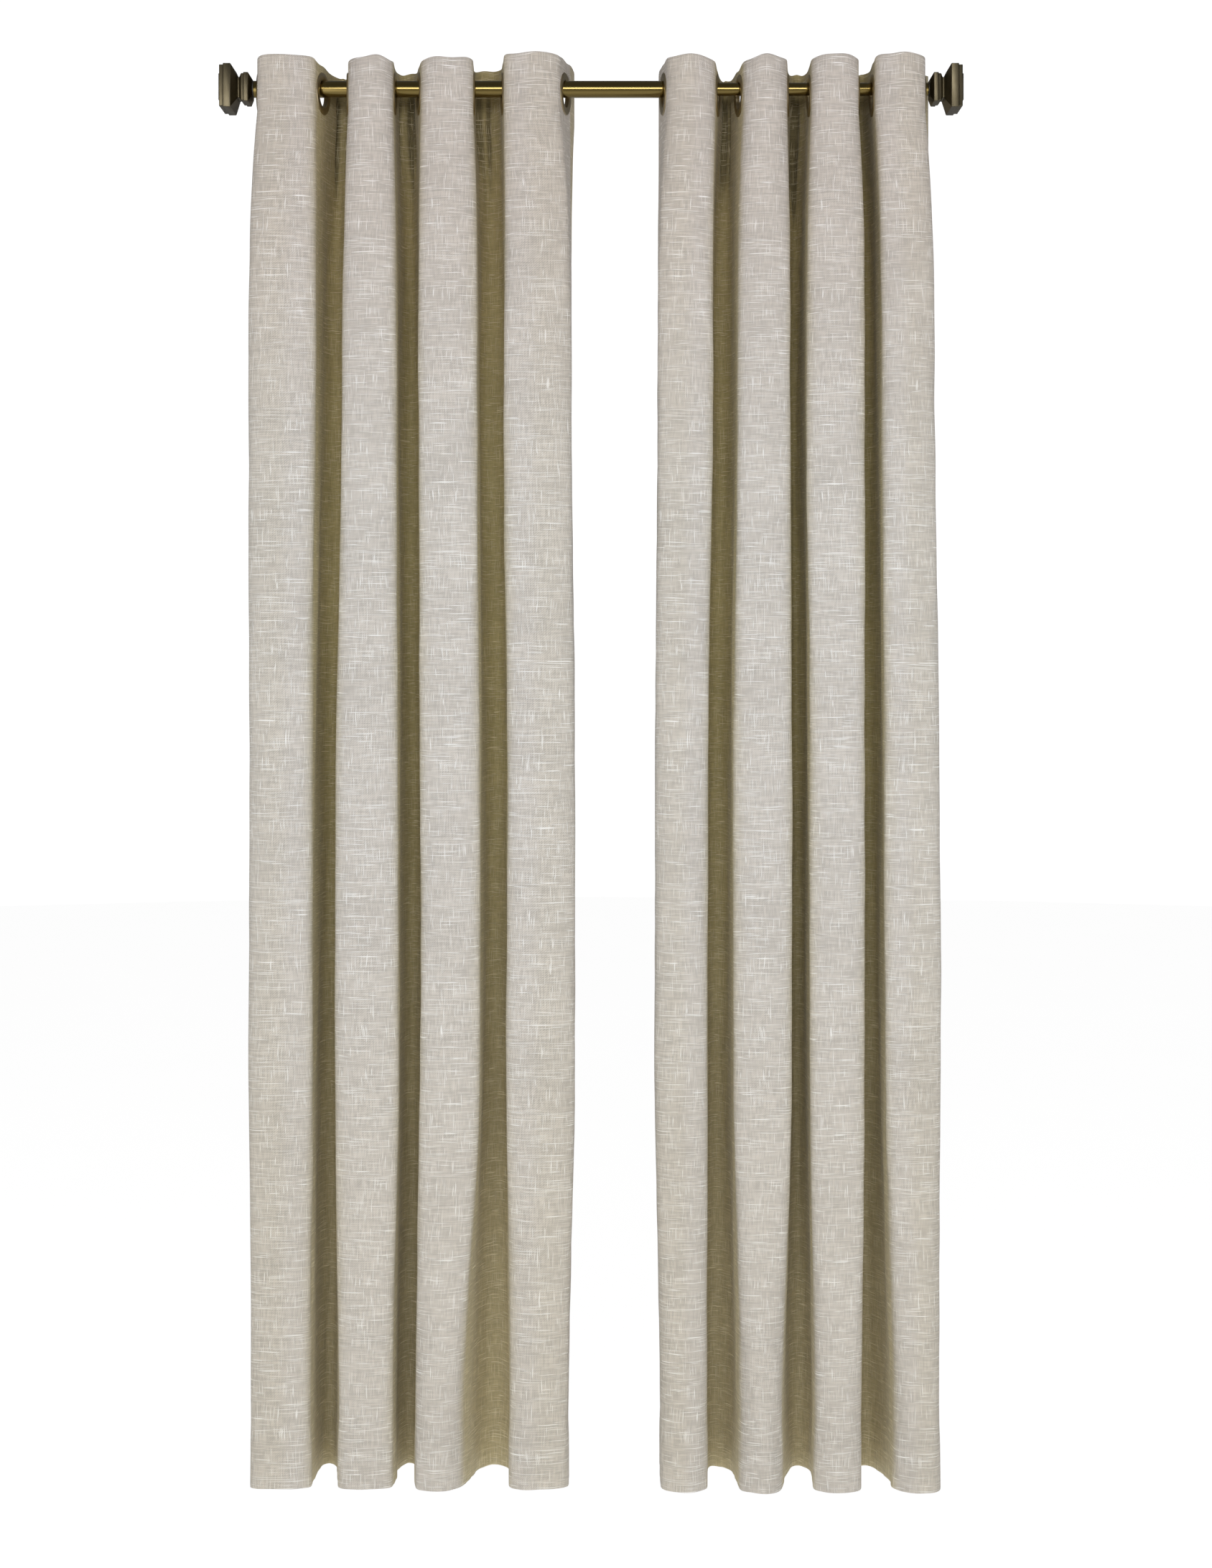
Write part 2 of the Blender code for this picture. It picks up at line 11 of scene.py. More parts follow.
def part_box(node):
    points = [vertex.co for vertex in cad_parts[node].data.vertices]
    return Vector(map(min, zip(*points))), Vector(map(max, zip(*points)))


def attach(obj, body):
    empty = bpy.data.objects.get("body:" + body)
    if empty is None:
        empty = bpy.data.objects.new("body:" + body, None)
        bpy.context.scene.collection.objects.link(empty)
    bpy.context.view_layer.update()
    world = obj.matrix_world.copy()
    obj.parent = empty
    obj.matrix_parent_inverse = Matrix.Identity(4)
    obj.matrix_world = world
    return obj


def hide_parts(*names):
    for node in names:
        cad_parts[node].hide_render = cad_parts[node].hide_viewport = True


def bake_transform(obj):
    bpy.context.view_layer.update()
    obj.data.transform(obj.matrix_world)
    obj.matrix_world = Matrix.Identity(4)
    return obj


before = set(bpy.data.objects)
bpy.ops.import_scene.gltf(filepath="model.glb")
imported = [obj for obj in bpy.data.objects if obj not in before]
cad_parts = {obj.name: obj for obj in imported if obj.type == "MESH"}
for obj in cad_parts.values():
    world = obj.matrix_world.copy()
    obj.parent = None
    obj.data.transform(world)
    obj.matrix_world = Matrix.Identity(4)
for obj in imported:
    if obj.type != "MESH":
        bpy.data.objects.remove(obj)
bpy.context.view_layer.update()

MM = 0.001
GAP = 0.3 * MM


def middle(node):
    low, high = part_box(node)
    return (Vector(low) + Vector(high)) / 2


# ---------------------------------------------------------------- sizes, as in the CAD model
LEFT_X = middle("left_wall_plate").x
RIGHT_X = middle("right_wall_plate").x
ROD_AXIS = middle("outer_tube")
OUTER_LOW, OUTER_HIGH = (Vector(v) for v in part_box("outer_tube"))
INNER_LOW, INNER_HIGH = (Vector(v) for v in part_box("inner_tube"))
OUTER_R = (OUTER_HIGH.z - OUTER_LOW.z) / 2
INNER_R = (INNER_HIGH.z - INNER_LOW.z) / 2
TUBE_WALL = 1.0 * MM

GROMMETS = 8
PITCH = 157 * MM  # from grommet to grommet along the cloth
SIDE_MARGIN = 85.5 * MM  # from a panel's side edge to its first grommet
FLAT = 33 * MM  # half the straight stretch of cloth about each grommet
FLAT_WIDTH = 2 * SIDE_MARGIN + (GROMMETS - 1) * PITCH
PANEL_HEIGHT = 2134 * MM
HEADER_DEPTH = 100 * MM
HEM_START = PANEL_HEIGHT - 75 * MM
SIDE_HEM = 24 * MM
CLOTH = 1.0 * MM
HEADER = 3.1 * MM  # through both layers of the header and the pocket between them
POCKET = 1.1 * MM
STIFFENER = 0.5 * MM
# below the top edge, and the pocket's distance from the side edges
POCKET_TOP, POCKET_BOTTOM, POCKET_MARGIN = 2 * MM, 96 * MM, 4 * MM
STIFFENER_TOP, STIFFENER_BOTTOM = 5 * MM, 90 * MM

TOP_TO_GROMMET = 48 * MM
HOLE_R = 20 * MM
BARREL_R = 21.2 * MM
RIM_R = 31.5 * MM
# the cloth, the pocket and the stiffener are cut away about a grommet up to here, under its rings
CLOTH_CUT_R, POCKET_CUT_R, STIFFENER_CUT_R = 26 * MM, 28.5 * MM, 29.5 * MM

# Each panel seen from above at its header, at 0.48 m, half way down and at its hem: where the cloth crosses
# the rod, in mm from the panel's own bracket, how each crossing leans, and how the two side flaps lean at
# their edges, in degrees from straight back.
LEFT_PLANS = (
    ((-21, 72, 113, 180, 220, 299, 346, 437), (-3, 12, -6, -1, -9, -2, -5, 13), (-3, 0)),
    ((-33, 66, 107, 185, 220, 306, 349, 446), (-1, 3, -2, 0, -2, 0, -1, -1), (3, -4)),
    ((-32, 61, 97, 188, 223, 311, 353, 451), (-1, 2, -1, 0, -2, 2, -1, -1), (3, -6)),
    ((-29, 59, 98, 181, 216, 293, 357, 441), (-1, 3, -6, 1, 0, 13, -1, -1), (3, -6)),
)
RIGHT_PLANS = (
    ((-367, -289, -253, -183, -147, -78, -52, 22), (-7, 7, -8, 5, 0, 2, 0, 3), (4, 30)),
    ((-375, -296, -258, -181, -154, -70, -42, 34), (1, 1, -2, 1, 0, 0, 0, 1), (5, 10)),
    ((-379, -304, -264, -178, -149, -70, -37, 43), (1, 1, -2, 1, 0, 0, 0, 1), (5, 6)),
    ((-371, -306, -257, -188, -142, -75, -28, 42), (1, 1, -7, 10, 0, 1, -10, 1), (5, 6)),
)
# metres below the top edge where the header's plan ends, the next one is reached, the half-way plan starts
# and ends, and the hem's plan is reached
PLAN_DEPTHS = (0.08, 0.48, 1.07, 1.50, 2.06)
# how far the top edge stands above or below its mean at each fold, in mm, from the left side edge to the
# right one
LEFT_TOPS = (0, 1.5, -9, -3, -2.5, -3.5, 1, 4.5, 5)
RIGHT_TOPS = (0, 1, -10, 1, -1, 3, 1, 5.5, 2)


def fold_places():
    """Where the folds' middles lie along the flat cloth. The first and last are the side edges."""
    places = SIDE_MARGIN + PITCH * (np.arange(GROMMETS + 1) - 0.5)
    places[0], places[-1] = 0, FLAT_WIDTH
    return places


GROMMET_U = SIDE_MARGIN + PITCH * np.arange(GROMMETS)
FOLD_U = fold_places()

# steps of the mesh along a straight stretch, a fold and a side flap
FLAT_STEPS = 12
FOLD_STEPS = 23
FLAP_STEPS = 10

VIEW_X = 0.5  # the middle of the view, between the panels
FLOOR_Z = -2.62
FLOOR_R = 14
AIM = (VIEW_X, 0, -1.4)


# ---------------------------------------------------------------- camera and light
def make_camera():
    data = bpy.data.cameras.new("camera")
    data.lens = 57.9
    data.shift_y = -0.0902
    data.clip_end = 60
    camera = bpy.data.objects.new("camera", data)
    bpy.context.scene.collection.objects.link(camera)
    camera.location = (VIEW_X, -3.895, -0.8165)
    camera.rotation_euler = (math.radians(90), 0, 0)
    bpy.context.scene.camera = camera


def area_light(name, at, towards, width, height, energy):
    data = bpy.data.lights.new(name, "AREA")
    data.shape = "RECTANGLE"
    data.size, data.size_y = width, height
    data.energy = energy
    light = bpy.data.objects.new(name, data)
    bpy.context.scene.collection.objects.link(light)
    light.location = at
    light.rotation_euler = (Vector(towards) - Vector(at)).to_track_quat("-Z", "Y").to_euler()


# ---------------------------------------------------------------- building blocks of the materials
def put(tree, kind, settings=None, **inputs):
    """A node with its settings and its inputs, which are values or the outputs of other nodes.

    An input goes by its name, with _ for a space, or by its number, as i0 or i1.
    """
    made = tree.nodes.new(kind)
    for key, value in (settings or {}).items():
        setattr(made, key, value)
    for key, value in inputs.items():
        numbered = key[0] == "i" and key[1:].isdigit()
        socket = made.inputs[int(key[1:]) if numbered else key.replace("_", " ")]
        if isinstance(value, bpy.types.NodeSocket):
            tree.links.new(value, socket)
        else:
            socket.default_value = value
    return made


def maths(tree, operation, a, b=0.0):
    return put(tree, "ShaderNodeMath", {"operation": operation}, i0=a, i1=b).outputs[0]


def sine(tree, value, spacing):
    """A wave between -1 and 1 that repeats at this spacing."""
    return maths(tree, "SINE", maths(tree, "MULTIPLY", value, 2 * math.pi / spacing))


def ramp(tree, value, low, high, to_low=0.0, to_high=1.0):
    return put(
        tree, "ShaderNodeMapRange", {"interpolation_type": "SMOOTHSTEP"},
        Value=value, From_Min=low, From_Max=high, To_Min=to_low, To_Max=to_high,
    ).outputs[0]


def mixed(tree, factor, a, b, blend="MIX"):
    """Colour a changed to, or multiplied by, colour b."""
    made = tree.nodes.new("ShaderNodeMix")
    made.data_type = "RGBA"
    made.blend_type = blend
    for socket, value in ((made.inputs[0], factor), (made.inputs[6], a), (made.inputs[7], b)):
        if isinstance(value, bpy.types.NodeSocket):
            tree.links.new(value, socket)
        else:
            socket.default_value = value
    return made.outputs[2]


def noise(tree, coords, scale, detail):
    return put(tree, "ShaderNodeTexNoise", None, Vector=coords, Scale=scale, Detail=detail).outputs[0]


def stretched(tree, coords, across, down, detail=2.0, shift=0.0):
    """Noise on the cloth's own grid, with its grain this many times per metre across and down."""
    scaled = put(
        tree, "ShaderNodeVectorMath", {"operation": "MULTIPLY_ADD"},
        i0=coords, i1=(across, down, 7.0), i2=(shift, shift, shift),
    ).outputs[0]
    return put(
        tree, "ShaderNodeTexNoise", None, Vector=scaled, Scale=1.0, Detail=detail, Roughness=0.55
    ).outputs[0]


def new_material(name, **inputs):
    made = bpy.data.materials.new(name)
    made.use_nodes = True
    shader = made.node_tree.nodes["Principled BSDF"]
    for key, value in inputs.items():
        shader.inputs[key.replace("_", " ")].default_value = value
    return made, made.node_tree, shader


def add_relief(tree, shader, height, strength, distance):
    bump = put(tree, "ShaderNodeBump", None, Strength=strength, Distance=distance, Height=height)
    tree.links.new(bump.outputs[0], shader.inputs["Normal"])


# ---------------------------------------------------------------- materials
LINEN_FRONT = (0.580, 0.534, 0.488, 1)
# painted shade: the cloth's colour deep in the folds
LINEN_PAINTED_SHADE = (0.50, 0.42, 0.218, 1)
SLUB_FRONT = (0.95, 0.93, 0.91, 1)
# painted shade: the slubs' colour deep in the folds
SLUB_PAINTED_SHADE = (0.86, 0.76, 0.52, 1)
# painted shade near the top edge; the next two shift the colour slightly down the body and at the hem
TOP_SHADE_TINT = (0.93, 0.912, 0.905, 1)
TINT_BODY = (1.0, 1.025, 1.035, 1)
TINT_HEM = (1.0, 1.008, 0.975, 1)


def linen():
    """Slub linen: a fine basket weave, uneven yarns and pale slubs, with painted shade: browner and darker
    deep in the folds and in the pleats.
    """
    made, tree, shader = new_material(
        "linen_weave", Roughness=0.92, Sheen_Weight=0.18, Sheen_Roughness=0.45, Specular_IOR_Level=0.15
    )
    coords = put(tree, "ShaderNodeAttribute", {"attribute_name": "cloth"}).outputs["Vector"]
    # the amount of painted shade: 0 on the open faces, 1 deep in the folds, more in the pleats and on the
    # end flap
    shade = put(tree, "ShaderNodeAttribute", {"attribute_name": "recess"}).outputs["Fac"]

    # yarns that wander a little off the straight grid
    drift = put(tree, "ShaderNodeTexNoise", None, Vector=coords, Scale=22.0, Detail=2.0).outputs[1]
    centred = put(tree, "ShaderNodeVectorMath", {"operation": "SUBTRACT"}, i0=drift, i1=(0.5, 0.5, 0.5))
    centred = centred.outputs[0]
    wander = put(tree, "ShaderNodeVectorMath", {"operation": "SCALE"}, i0=centred, Scale=3.5 * MM).outputs[0]
    cloth = put(tree, "ShaderNodeVectorMath", {"operation": "ADD"}, i0=coords, i1=wander).outputs[0]

    axes = put(tree, "ShaderNodeSeparateXYZ", None, Vector=cloth)
    across, down = axes.outputs[0], axes.outputs[1]
    basket = maths(tree, "MULTIPLY", sine(tree, across, 2.1 * MM), sine(tree, down, 1.7 * MM))
    slant_across = maths(tree, "MULTIPLY", across, 1 / (2.6 * MM))
    slant_down = maths(tree, "MULTIPLY", down, 1 / (3.4 * MM))
    twill = sine(tree, maths(tree, "ADD", slant_across, slant_down), 1)
    basket = maths(tree, "ADD", basket, maths(tree, "MULTIPLY", twill, 0.5))

    warp_yarn = stretched(tree, cloth, across=760, down=42)
    weft_yarn = stretched(tree, cloth, across=42, down=760, shift=3.7)
    yarns = maths(tree, "ADD", warp_yarn, weft_yarn)
    weft_slub = stretched(tree, cloth, across=28, down=980, detail=1.0, shift=11.3)
    warp_slub = stretched(tree, cloth, across=980, down=30, detail=1.0, shift=23.9)
    fainter = maths(tree, "MULTIPLY", ramp(tree, warp_slub, 0.635, 0.69), 0.8)
    slubs = maths(tree, "MAXIMUM", ramp(tree, weft_slub, 0.630, 0.68), fainter)
    patches = noise(tree, cloth, 9.0, 3.0)

    tone = ramp(tree, yarns, 0.74, 1.26, 0.82, 1.13)
    tone = maths(tree, "ADD", tone, maths(tree, "MULTIPLY", basket, 0.17))
    tone = maths(tree, "MULTIPLY", tone, ramp(tree, patches, 0.3, 0.7, 0.97, 1.03))
    # painted shade: the yarns darken further where the shade goes past 1, in the pleats and on the end flap
    tone = maths(tree, "MULTIPLY", tone, ramp(tree, shade, 1.0, 1.9, 1.0, 0.5))
    greys = put(tree, "ShaderNodeCombineColor", None, Red=tone, Green=tone, Blue=tone).outputs[0]
    # painted shade: yarns and slubs turn to the darker, browner colours deep in the folds
    yarn_colour = mixed(tree, 1.0, mixed(tree, shade, LINEN_FRONT, LINEN_PAINTED_SHADE), greys, "MULTIPLY")
    slub_colour = mixed(tree, shade, SLUB_FRONT, SLUB_PAINTED_SHADE)
    colour = mixed(tree, maths(tree, "MULTIPLY", slubs, 0.85), yarn_colour, slub_colour)
    # painted shade: the cloth darker near its top edge, then slight colour shifts down the body and at the
    # hem
    tint = mixed(tree, ramp(tree, down, 0.05, 0.75), TOP_SHADE_TINT, TINT_BODY)
    tint = mixed(tree, ramp(tree, down, 1.1, 1.8), tint, TINT_HEM)
    tree.links.new(mixed(tree, 1.0, colour, tint, "MULTIPLY"), shader.inputs["Base Color"])

    height = maths(tree, "ADD", maths(tree, "MULTIPLY", basket, 0.22), yarns)
    height = maths(tree, "ADD", height, maths(tree, "MULTIPLY", slubs, 0.6))
    add_relief(tree, shader, height, 0.55, 0.6 * MM)
    return made


def buckram():
    """Stiff open mesh."""
    made, tree, shader = new_material("buckram", Roughness=0.85)
    spacing = 2.4 * MM
    coords = put(tree, "ShaderNodeAttribute", {"attribute_name": "cloth"}).outputs["Vector"]
    axes = put(tree, "ShaderNodeSeparateXYZ", None, Vector=coords)
    threads = maths(
        tree, "MAXIMUM", sine(tree, axes.outputs[0], spacing), sine(tree, axes.outputs[1], spacing)
    )
    colour = mixed(tree, ramp(tree, threads, 0.2, 0.9), (0.55, 0.54, 0.50, 1), (0.78, 0.77, 0.73, 1))
    tree.links.new(colour, shader.inputs["Base Color"])
    add_relief(tree, shader, threads, 0.6, 0.4 * MM)
    return made


def metal(name, dark, light, roughness, grain=(60, 60, 60), coat=0.0, cloud=0.65, relief=0.06):
    """Worn plated metal: its tone and roughness wander, with fine brush marks along the given grain."""
    made, tree, shader = new_material(name, Metallic=1.0, Coat_Weight=coat, Coat_Roughness=0.12)
    coords = put(tree, "ShaderNodeTexCoord").outputs["Object"]
    cloudy = noise(tree, coords, 38.0, 4.0)
    scaled = put(tree, "ShaderNodeVectorMath", {"operation": "MULTIPLY"}, i0=coords, i1=grain).outputs[0]
    brushed = noise(tree, scaled, 1.0, 3.0)
    clouds, marks = maths(tree, "MULTIPLY", cloudy, cloud), maths(tree, "MULTIPLY", brushed, 1 - cloud)
    blend = maths(tree, "ADD", clouds, marks)
    tree.links.new(mixed(tree, ramp(tree, blend, 0.36, 0.64), dark, light), shader.inputs["Base Color"])
    worn = ramp(tree, blend, 0.3, 0.7, roughness + 0.02, roughness - 0.02)
    tree.links.new(worn, shader.inputs["Roughness"])
    add_relief(tree, shader, brushed, relief, 0.3 * MM)
    return made


def moulded(name, colour, roughness):
    """Moulded plastic with a fine grain."""
    made, tree, shader = new_material(name)
    coords = put(tree, "ShaderNodeTexCoord").outputs["Object"]
    fine = noise(tree, coords, 900.0, 2.0)
    paler = tuple(min(1.0, c * 1.5) for c in colour[:3]) + (1,)
    tree.links.new(mixed(tree, fine, colour, paler), shader.inputs["Base Color"])
    rough = ramp(tree, fine, 0.3, 0.7, roughness - 0.06, roughness + 0.06)
    tree.links.new(rough, shader.inputs["Roughness"])
    add_relief(tree, shader, fine, 0.25, 0.2 * MM)
    return made


def glow(tree, plain, seen, less_in_metal):
    """A strength for light rays, another for what the camera sees, and less for reflections in metal."""
    rays = put(tree, "ShaderNodeLightPath").outputs
    strength = put(tree, "ShaderNodeMapRange", None, Value=rays["Is Camera Ray"], To_Min=plain, To_Max=seen)
    reflected = maths(tree, "MULTIPLY", rays["Is Glossy Ray"], less_in_metal)
    return maths(tree, "SUBTRACT", strength.outputs[0], reflected)


def pale_floor():
    made, tree, shader = new_material("studio_floor", Roughness=0.8)
    coords = put(tree, "ShaderNodeTexCoord").outputs["Object"]
    soft = noise(tree, coords, 1.5, 2.0)
    colour = mixed(tree, soft, (0.90, 0.90, 0.90, 1), (0.93, 0.93, 0.93, 1))
    tree.links.new(colour, shader.inputs["Base Color"])
    shader.inputs["Emission Color"].default_value = (1, 1, 1, 1)
    tree.links.new(glow(tree, 0.40, 0.75, 0.30), shader.inputs["Emission Strength"])
    return made


# ---------------------------------------------------------------- a panel's plan from above
def smooth(low, high, value):
    t = np.clip((value - low) / (high - low), 0, 1)
    return t * t * (3 - 2 * t)


def bell(value, width):
    return np.exp(-((value / width) ** 2))


def ripples(rng, u, v, wave_u, wave_v, count):
    """A smooth random surface between about -1 and 1, with wavelengths in the given ranges."""
    total = np.zeros(np.broadcast(u, v).shape)
    for _ in range(count):
        along = rng.choice((-1, 1)) / rng.uniform(*wave_u)
        down = rng.choice((-1, 1)) / rng.uniform(*wave_v)
        total += np.sin(2 * math.pi * (u * along + v * down) + rng.uniform(0, 2 * math.pi))
    return total / math.sqrt(2 * count)


def leaning(degrees):
    """A direction in plan, this far round from straight back."""
    return np.array((math.sin(math.radians(degrees)), math.cos(math.radians(degrees))))


def curve(corners, t):
    """Points and directions along a Bezier curve."""
    a, b, c, d = (np.array(p) for p in corners)
    t = t[:, None]
    s = 1 - t
    points = a * s**3 + 3 * b * t * s**2 + 3 * c * t**2 * s + d * t**3
    slopes = (b - a) * s**2 + 2 * (c - b) * t * s + (d - c) * t**2
    return points, slopes / np.linalg.norm(slopes, axis=1)[:, None]


def fold(start, way_in, end, way_out, length, steps):
    """One fold whose cloth has the given length between two straight stretches."""
    low, high = np.linalg.norm(end - start) / 4, length
    fine = np.linspace(0, 1, 49)
    for _ in range(30):
        handle = (low + high) / 2
        corners = (start, start + way_in * handle, end - way_out * handle, end)
        points, _ = curve(corners, fine)
        if np.linalg.norm(np.diff(points, axis=0), axis=1).sum() < length:
            low = handle
        else:
            high = handle
    return curve(corners, np.linspace(0, 1, steps + 2)[1:-1])


def flap(point, way, lean_from, lean_to):
    """The cloth from an end grommet's straight stretch to the side edge, turning evenly as it goes."""
    reach = (SIDE_MARGIN - FLAT) / FLAP_STEPS
    points, ways = [], []
    for i in range(FLAP_STEPS):
        step = leaning(lean_from + (lean_to - lean_from) * (i + 1) / FLAP_STEPS)
        point = point + step * reach
        points.append(point)
        ways.append(step * way)
    return points, ways


def plan(bracket_x, crossings, leans, flap_leans):
    """The panel from above: points and directions of its columns from its left edge to its right."""
    centres = [np.array((bracket_x + x * MM, ROD_AXIS.y)) for x in crossings]
    ways = [leaning(lean) * (-1 if k % 2 == 0 else 1) for k, lean in enumerate(leans)]
    before, before_ways = flap(centres[0] - ways[0] * FLAT, -1, leans[0], flap_leans[0])
    points, directions = before[::-1], before_ways[::-1]
    for k, (centre, way) in enumerate(zip(centres, ways)):
        for along in np.linspace(-FLAT, FLAT, FLAT_STEPS + 1):
            points.append(centre + way * along)
            directions.append(way)
        if k < len(centres) - 1:
            start = centre + way * FLAT
            end = centres[k + 1] - ways[k + 1] * FLAT
            bent, bent_ways = fold(start, way, end, ways[k + 1], PITCH - 2 * FLAT, FOLD_STEPS)
            points += list(bent)
            directions += list(bent_ways)
    after, after_ways = flap(centres[-1] + ways[-1] * FLAT, 1, leans[-1], flap_leans[1])
    return np.array(points + after), np.array(directions + after_ways)


def cloth_coordinate():
    """Each column's distance from the panel's left edge along the flat cloth."""
    u = list(np.linspace(0, SIDE_MARGIN - FLAT, FLAP_STEPS + 1)[:-1])
    for k, centre in enumerate(GROMMET_U):
        u += list(np.linspace(centre - FLAT, centre + FLAT, FLAT_STEPS + 1))
        if k < GROMMETS - 1:
            u += list(np.linspace(centre + FLAT, centre + PITCH - FLAT, FOLD_STEPS + 2)[1:-1])
    return np.array(u + list(np.linspace(u[-1], FLAT_WIDTH, FLAP_STEPS + 1)[1:]))


def row_depths():
    """Distances below the top edge, closer together where the header and the hem are sewn."""
    header = [0, 0.7, 2] + list(range(5, 96, 5)) + [97, 98.5, 100, 101.2, 104]
    body = list(np.linspace(112, 2048, 162))
    hem = [2056, 2058.8, 2060.2, 2061.6, 2063] + list(np.linspace(2069, 2128, 9)) + [2131, 2133.2, 2134]
    return np.array(header + body + hem) * MM


def plan_weights(depth):
    """How much of each of the four plans there is at each depth."""
    header_end, upper, half_way_start, half_way_end, hem = PLAN_DEPTHS
    opening = 1 - (1 - np.clip((depth - header_end) / (upper - header_end), 0, 1)) ** 3
    to_middle = smooth(upper, half_way_start, depth)
    to_hem = smooth(half_way_end, hem, depth)
    return np.stack((1 - opening, opening * (1 - to_middle), to_middle * (1 - to_hem), to_hem), axis=1)


# ---------------------------------------------------------------- a panel's cloth
def creases(rng, u, d):
    """Pleats that fall from the rod in the back folds, as a distance into the cloth (negative)."""
    pleats = np.zeros((len(d), len(u)))
    for middle_u in FOLD_U[2:GROMMETS:2]:
        for _ in range(4):
            at = middle_u + rng.uniform(-22, 22) * MM
            slant = rng.uniform(-0.06, 0.06)
            width = rng.uniform(4.0, 6.0) * MM
            end = rng.uniform(0.16, 0.30)
            fade = smooth(18 * MM, 60 * MM, d) * (1 - smooth(0.09, end, d))
            pleats -= rng.uniform(4.0, 8.0) * MM * bell(u + slant * d - at, width) * fade
    return pleats


def cloth_faces(u, depth):
    """How far the front and back faces stand from the middle of the header, as in the CAD model."""
    d = depth[:, None]
    from_side = np.minimum(u, FLAT_WIDTH - u)
    in_header = 1 - smooth(HEADER_DEPTH - 1.5 * MM, HEADER_DEPTH + 1 * MM, d)
    in_hem = smooth(HEM_START - 1.5 * MM, HEM_START + 0.5 * MM, d)
    at_side = 1 - smooth(SIDE_HEM, SIDE_HEM + 1.5 * MM, from_side)
    front = np.full((len(depth), len(u)), HEADER / 2)
    back = HEADER / 2 - CLOTH - (HEADER - CLOTH) * in_header - CLOTH * in_hem
    back = back - 0.5 * MM * at_side * (1 - in_header) * (1 - in_hem)

    # the cloth is drawn in along its seams
    sewn = bell(d - (HEADER_DEPTH - 3 * MM), 1.2 * MM) + bell(d - HEM_START - 2.2 * MM, 1.2 * MM)
    sewn = sewn + bell(from_side - 22.5 * MM, 1.5 * MM) * (d > 0)
    front = front - 0.25 * MM * np.clip(sewn, 0, 1)
    back = back + 0.2 * MM * np.clip(sewn, 0, 1)

    # and its top and bottom edges are rounded
    ends = np.minimum(depth, PANEL_HEIGHT - depth)
    rounding = np.where(ends < 0.1 * MM, 0.5, np.where(ends < 1 * MM, 0.87, 1.0))[:, None]
    core = (front + back) / 2
    return core + (front - core) * rounding, core + (back - core) * rounding


def painted_fold_shade(u, d, inward, pleats):
    """How much painted shade each face gets from how deep it lies in its fold, with more in the pleats and
    on the end flap, seen from the room and from the window.
    """
    first, last = FOLD_U[1], FOLD_U[-2]
    between = smooth(first - 6 * MM, first + 14 * MM, u) * (1 - smooth(last - 14 * MM, last + 6 * MM, u))
    # painted shade on the room side: full deep in the folds between the first and last fold, less lower
    # down, and a little outside them
    front = (1 - smooth(22 * MM, 47 * MM, inward)) * between
    front = front * (1 - 0.25 * smooth(0.9, 1.9, d)) + 0.1 * (1 - between)
    # painted shade in the pleats under the rod
    front = front + np.clip(-pleats / (5 * MM), 0, 1) * between
    # painted shade on the flap beyond the last grommet, fading lower down
    end_flap = smooth(GROMMET_U[-1] + 26 * MM, GROMMET_U[-1] + 36 * MM, u)
    front = front + 0.65 * end_flap * (1 - smooth(0.30, 0.55, d))
    # painted shade on the window side: darker on the folds that stand out towards the room, which lie deep
    # seen from the window
    back = 0.25 + 0.3 * smooth(-20 * MM, 30 * MM, inward)
    return front, back


def closed(front, back, keep):
    """Two grids of points joined into one closed sheet, without the faces that aren't kept."""
    rows, columns = front.shape[:2]
    count = rows * columns
    index = np.arange(count).reshape(rows, columns)
    quads = np.stack((index[:-1, :-1], index[1:, :-1], index[1:, 1:], index[:-1, 1:]), axis=-1)[keep]
    edges = np.concatenate([np.stack((quads[:, i], quads[:, (i + 1) % 4]), axis=1) for i in range(4)])
    forward = edges[:, 0] * count + edges[:, 1]
    backward = edges[:, 1] * count + edges[:, 0]
    rim = edges[~np.isin(forward, backward)]
    walls = np.stack((rim[:, 1], rim[:, 0], rim[:, 0] + count, rim[:, 1] + count), axis=1)
    faces = np.concatenate((quads, quads[:, ::-1] + count, walls))
    points = np.concatenate((front.reshape(-1, 3), back.reshape(-1, 3)))
    used, faces = np.unique(faces, return_inverse=True)
    return points, faces.reshape(-1, 4), used


def sheet_object(name, layers, cloth, recess, look):
    """One object from closed layers of (points, faces, used), with its cloth coordinates and its amount of
    painted shade (recess).
    """
    vertices, faces, used_points = [], [], []
    count = 0
    for points, quads, used in layers:
        vertices.append(points[used])
        faces.append(quads + count)
        used_points.append(used)
        count += len(used)
    used_points = np.concatenate(used_points)
    mesh = bpy.data.meshes.new(name)
    mesh.from_pydata(np.concatenate(vertices).tolist(), [], np.concatenate(faces).tolist())
    mesh.shade_smooth()
    coordinates = mesh.attributes.new("cloth", "FLOAT_VECTOR", "POINT")
    coordinates.data.foreach_set("vector", cloth[used_points].ravel())
    mesh.attributes.new("recess", "FLOAT", "POINT").data.foreach_set("value", recess[used_points])
    mesh.materials.append(look)
    made = bpy.data.objects.new(name, mesh)
    bpy.context.scene.collection.objects.link(made)
    return made


